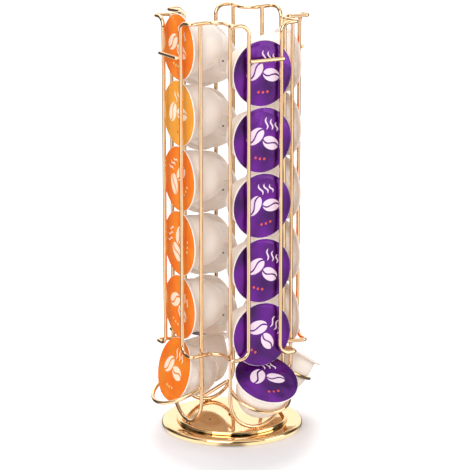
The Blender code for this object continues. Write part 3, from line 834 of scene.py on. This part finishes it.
def lid_mesh():
    """The foil: wrapped over the flange's edge, sealed flat, crowned inside that, and dented."""
    inner = LID_RADIUS - SEAL_WIDTH
    under = FLANGE_THICK - FOIL_UNDERSIDE
    seal = FLANGE_THICK + FOIL_THICK
    wrap = arc((FLANGE_RADIUS - FLANGE_EDGE, FLANGE_EDGE), FLANGE_EDGE + FOIL_THICK,
               FOIL_WRAP_START, 90, FOIL_WRAP_STEPS)
    profile = [(0, under), (LID_RADIUS, under), (wrap[0].x, wrap[0].y - FOIL_LIP), *wrap]
    profile += [(inner + CROWN_BEND_OUT, seal), (inner - CROWN_BEND_IN, seal + CROWN_BEND_RISE)]
    for ring in range(1, CROWN_RINGS + 1):
        radius = (inner - CROWN_BEND_IN) * (1 - ring / CROWN_RINGS)
        crown = CROWN_RISE * (1 - (radius / inner) ** 2) ** CROWN_POWER
        profile.append((radius, seal + CROWN_BEND_RISE + crown))
    mesh = turned_mesh("capsule_lid", profile, LID_SIDES, sharp_angle=LID_SHARP_ANGLE)
    for vertex in mesh.vertices:
        radius = math.hypot(vertex.co.x, vertex.co.y)
        if vertex.co.z > seal + CROWN_BEND_RISE / 2:
            hold = min(1, (inner - radius) / DENT_MARGIN)
            vertex.co.z += DENT_DEPTH * hold * (noise.noise(vertex.co / DENT_SIZE) - DENT_BIAS)
    return mesh


def capsule_place(node, angle, tilt):
    """Where a capsule lies, read from its solid: lid along +Z, back of the flange at zero."""
    turn = column_matrix(angle) @ Matrix.Rotation(math.radians(90 - tilt), 4, "X")
    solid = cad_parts[node]
    local = turn.inverted()
    points = [local @ (solid.matrix_world @ vertex.co) for vertex in solid.data.vertices]
    low = [min(point[axis] for point in points) for axis in range(3)]
    high = [max(point[axis] for point in points) for axis in range(3)]
    seat = Vector(((low[0] + high[0]) / 2, (low[1] + high[1]) / 2,
                   high[2] - FLANGE_THICK - LID_CROWN))
    return turn @ Matrix.Translation(seat)


def make_capsules():
    """A cup and a lid for every capsule; all the cups share a mesh, and so do the lids."""
    cup = cup_mesh()
    lid = lid_mesh()
    for name, angle in COLUMNS.items():
        for index in range(CAPSULES_PER_COLUMN):
            node = f"{name}_capsule_{index + 1}"
            bottom = index == CAPSULES_PER_COLUMN - 1
            body = "carousel" if bottom else f"{name}_stack"
            tilt = 0
            if bottom:
                tilt = LEANING_TILT if name == "left" else TIPPED_TILT
            place = capsule_place(node, angle, tilt)
            turned = place @ Matrix.Rotation(math.radians(PRINT_TURNS[name][index]), 4, "Z")
            foil = AMBER_FOIL if node == AMBER_CAPSULE else FOILS[name]
            # The cup's second slot is the painted shade in its outlet pit
            add_piece(f"{node}_cup", cup, [CUP_PLASTIC, PIT_PAINTED_SHADE], body, [node],
                      place)
            add_piece(f"{node}_lid", lid, [foil], body, [node], turned)


def base_profile():
    """The base's closed section: hole, boss, well, rim and rolled bead, and back inside."""
    rim_radius = WELL_RADIUS + WELL_WALL
    upper = [(RIVET_HOLE_RADIUS, BOSS_TOP_Z), (BOSS_RADIUS, BOSS_TOP_Z),
             (BOSS_FOOT_RADIUS, WELL_FLOOR_Z), (WELL_RADIUS, WELL_FLOOR_Z),
             (WELL_RADIUS + WELL_BEND_OUT, WELL_FLOOR_Z + WELL_BEND_RISE),
             (rim_radius - WELL_BEND_OUT, BASE_TOP_Z - WELL_BEND_RISE), (rim_radius, BASE_TOP_Z)]
    bead = (BASE_RADIUS - BASE_BEAD, BASE_TOP_Z - BASE_BEAD)
    face = upper + arc(bead, BASE_BEAD, 90, -90, BASE_BEAD_STEPS)
    back = [(radius, height - SHEET) for radius, height in upper]
    back += arc(bead, BASE_BEAD - SHEET, 90, -90, BASE_BEAD_STEPS)
    return face + back[::-1]


def plate_profile():
    """The turntable plate's closed section: hole, top, rounded shoulder and short skirt."""
    skirt_end = BASE_TOP_Z + CONTACT_GAP
    shoulder = (PLATE_RADIUS - PLATE_SHOULDER, PLATE_TOP_Z - PLATE_SHOULDER)
    return [(RIVET_HOLE_RADIUS, PLATE_TOP_Z),
            *arc(shoulder, PLATE_SHOULDER, 90, 0, PLATE_OUTER_STEPS),
            (PLATE_RADIUS, skirt_end), (PLATE_RADIUS - SHEET, skirt_end),
            *arc(shoulder, PLATE_SHOULDER - SHEET, 0, 90, PLATE_INNER_STEPS),
            (RIVET_HOLE_RADIUS, PLATE_TOP_Z - SHEET)]


def rivet_profile():
    """The rivet's section, from its domed head over the plate to its tail under the base."""
    seat = PLATE_TOP_Z + CONTACT_GAP
    head = [(RIVET_HEAD_RADIUS * point.x, seat + RIVET_HEAD_RISE * point.y)
            for point in arc((0, 0), 1, 90, 0, RIVET_HEAD_STEPS)]
    head[0] = (0, seat + RIVET_HEAD_RISE)
    tail_top = BOSS_TOP_Z - SHEET - CONTACT_GAP
    tail_end = tail_top - RIVET_TAIL_DEPTH
    return head + [(RIVET_SHANK_RADIUS, seat), (RIVET_SHANK_RADIUS, tail_top),
                   (RIVET_TAIL_RADIUS, tail_top), (RIVET_TAIL_RADIUS, tail_end), (0, tail_end)]


def make_base():
    """Base, plate and rivet, turned finely. The pad and the ball race keep their solids."""
    add_piece("base_dish", turned_mesh("base_dish", base_profile(), DISC_SIDES, closed=True),
              [PLATE_GOLD], "base", ["base_disc"])
    add_piece("turntable", turned_mesh("turntable", plate_profile(), DISC_SIDES, closed=True),
              [PLATE_GOLD], "carousel", ["turntable_plate"])
    add_piece("rivet", turned_mesh("rivet", rivet_profile(), RIVET_SIDES), [PLATE_GOLD], "base",
              ["pivot_rivet"])
    finishes = {"anti_slip_pad": FOAM, "lower_race": BRIGHT_STEEL, "upper_race": BRIGHT_STEEL,
                "ball_cage": NYLON}
    for index in range(BEARING_BALLS):
        finishes[f"bearing_ball_{index + 1}"] = BRIGHT_STEEL
    for node, material in finishes.items():
        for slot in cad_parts[node].material_slots:
            slot.material = material


def toward_azimuth(azimuth):
    """The level direction from the axis towards someone who stands at an azimuth, in degrees."""
    turn = math.radians(azimuth)
    return Vector((math.sin(turn), -math.cos(turn), 0))


def studio_level(tree, direction, levels, azimuth=VIEW_AZIMUTH):
    """Brightness by how far a direction goes towards an azimuth, as polished metal sees it."""
    along = add_node(tree, "ShaderNodeVectorMath", {"operation": "DOT_PRODUCT"},
                     {0: direction, 1: toward_azimuth(azimuth)})
    share = add_node(tree, "ShaderNodeMapRange", None,
                     {"Value": along.outputs["Value"], "From Min": -1.0})
    ramp = add_node(tree, "ShaderNodeValToRGB", None, {"Fac": share.outputs["Result"]})
    stops = ramp.color_ramp.elements
    while len(stops) < len(levels):
        stops.new(0.5)
    for stop, (place, level) in zip(stops, levels):
        stop.position = (place + 1) / 2
        stop.color = (level, level, level, 1)
    return ramp.outputs["Color"]


def seen_or_lit(tree, lighting, seen, mirrored):
    """One shader for the light that falls on the rack, one for the view and one for mirrors."""
    path = add_node(tree, "ShaderNodeLightPath")
    through = add_node(tree, "ShaderNodeMath", {"operation": "MAXIMUM"},
                       {0: path.outputs["Is Camera Ray"], 1: path.outputs["Is Transmission Ray"]})
    viewed = add_node(tree, "ShaderNodeMixShader", None,
                      {0: through.outputs[0], 1: lighting.outputs[0], 2: seen.outputs[0]})
    return add_node(tree, "ShaderNodeMixShader", None,
                    {0: path.outputs["Is Glossy Ray"], 1: viewed.outputs[0],
                     2: mirrored.outputs[0]})


def floor_material():
    """The white floor, with a soft shade by place under the rack."""
    material = bpy.data.materials.new("white_floor")
    material.use_nodes = True
    tree = material.node_tree
    tree.nodes.clear()
    plain = add_node(tree, "ShaderNodeBsdfDiffuse", None, {"Color": linear(FLOOR_COLOUR)})
    faint = add_node(tree, "ShaderNodeBsdfDiffuse", None, {"Color": linear(SEEN_FLOOR_COLOUR)})
    place = add_node(tree, "ShaderNodeTexCoord")
    oval = add_node(tree, "ShaderNodeMapping", {"vector_type": "TEXTURE"},
                    {"Vector": place.outputs["Object"],
                     "Location": SHADE_AHEAD * toward_azimuth(VIEW_AZIMUTH),
                     "Rotation": (0, 0, math.radians(VIEW_AZIMUTH)),
                     "Scale": (SHADE_HALF_WIDTH, SHADE_HALF_DEPTH, 1)})
    from_middle = add_node(tree, "ShaderNodeVectorMath", {"operation": "LENGTH"},
                           {0: oval.outputs[0]})
    open_floor = add_node(tree, "ShaderNodeMapRange", {"interpolation_type": "SMOOTHSTEP"},
                          {"Value": from_middle.outputs["Value"], "From Min": SHADE_CORE,
                           "To Min": SHADED_FLOOR_GLOW, "To Max": OPEN_FLOOR_GLOW})
    glow = add_node(tree, "ShaderNodeEmission", None,
                    {"Color": linear("#FFFFFF"), "Strength": open_floor.outputs["Result"]})
    bright = add_node(tree, "ShaderNodeAddShader", None, {0: faint.outputs[0], 1: glow.outputs[0]})
    outward = add_node(tree, "ShaderNodeVectorMath", {"operation": "NORMALIZE"},
                       {0: place.outputs["Object"]})
    mirrored = add_node(tree, "ShaderNodeEmission", None,
                        {"Color": studio_level(tree, outward.outputs[0], FLOOR_LEVELS),
                         "Strength": MIRROR_STRENGTH})
    mixed = seen_or_lit(tree, plain, bright, mirrored)
    add_node(tree, "ShaderNodeOutputMaterial", None, {"Surface": mixed.outputs[0]})
    return material


def studio_world():
    """Even light and a white background, and the room's bright and dim parts for mirrors."""
    world = bpy.data.worlds.new("studio")
    world.use_nodes = True
    tree = world.node_tree
    tree.nodes.clear()
    ambient = add_node(tree, "ShaderNodeBackground", None,
                       {"Color": linear("#FFFFFF"), "Strength": AMBIENT_STRENGTH})
    backdrop = add_node(tree, "ShaderNodeBackground", None,
                        {"Color": linear("#FFFFFF"), "Strength": BACKDROP_STRENGTH})
    place = add_node(tree, "ShaderNodeTexCoord")
    direction = place.outputs["Generated"]
    both = add_node(tree, "ShaderNodeMix", {"data_type": "RGBA", "blend_type": "MULTIPLY"},
                    {"Factor": 1.0, "A": studio_level(tree, direction, ROOM_LEVELS),
                     "B": studio_level(tree, direction, SIDE_LEVELS, VIEW_AZIMUTH + 90)})
    mirrored = add_node(tree, "ShaderNodeBackground", None,
                        {"Color": both.outputs[2], "Strength": MIRROR_STRENGTH})
    mixed = seen_or_lit(tree, ambient, backdrop, mirrored)
    add_node(tree, "ShaderNodeOutputWorld", None, {"Surface": mixed.outputs[0]})
    return world


def make_studio():
    """The floor, the world and three softboxes."""
    scene = bpy.context.scene
    scene.view_settings.view_transform = "Standard"
    scene.world = studio_world()

    work = bmesh.new()
    bmesh.ops.create_grid(work, x_segments=1, y_segments=1, size=FLOOR_REACH)
    floor = bpy.data.objects.new("floor", finish_mesh(work, "floor"))
    scene.collection.objects.link(floor)
    floor.data.materials.append(floor_material())

    for name, place, width, watts in SOFTBOXES:
        light = bpy.data.lights.new(name, "AREA")
        light.energy = watts
        light.size = width
        lamp = bpy.data.objects.new(name, light)
        scene.collection.objects.link(lamp)
        lamp.location = place
        lamp.rotation_euler = (SOFTBOX_AIM - lamp.location).to_track_quat("-Z", "Y").to_euler()


def make_camera():
    """The camera, placed from a fit of the wires, lids and base to the photograph."""
    azimuth = math.radians(VIEW_AZIMUTH)
    elevation = math.radians(VIEW_ELEVATION)
    toward = Vector((math.sin(azimuth) * math.cos(elevation),
                     -math.cos(azimuth) * math.cos(elevation), math.sin(elevation)))
    right = Vector((math.cos(azimuth), math.sin(azimuth), 0))
    camera_data = bpy.data.cameras.new("camera")
    camera_data.sensor_width = SENSOR_WIDTH
    camera_data.lens = SENSOR_WIDTH * VIEW_FOCAL_PIXELS / PHOTO_PIXELS
    camera_data.clip_end = VIEW_CLIP_END
    camera = bpy.data.objects.new("camera", camera_data)
    bpy.context.scene.collection.objects.link(camera)
    aim = right * VIEW_AIM_SIDE + Vector((0, 0, VIEW_AIM_Z))
    camera.location = aim + toward * VIEW_DISTANCE
    camera.rotation_euler = (-toward).to_track_quat("-Z", "Y").to_euler()
    bpy.context.scene.camera = camera


make_wires()
make_capsules()
make_base()
make_studio()
make_camera()
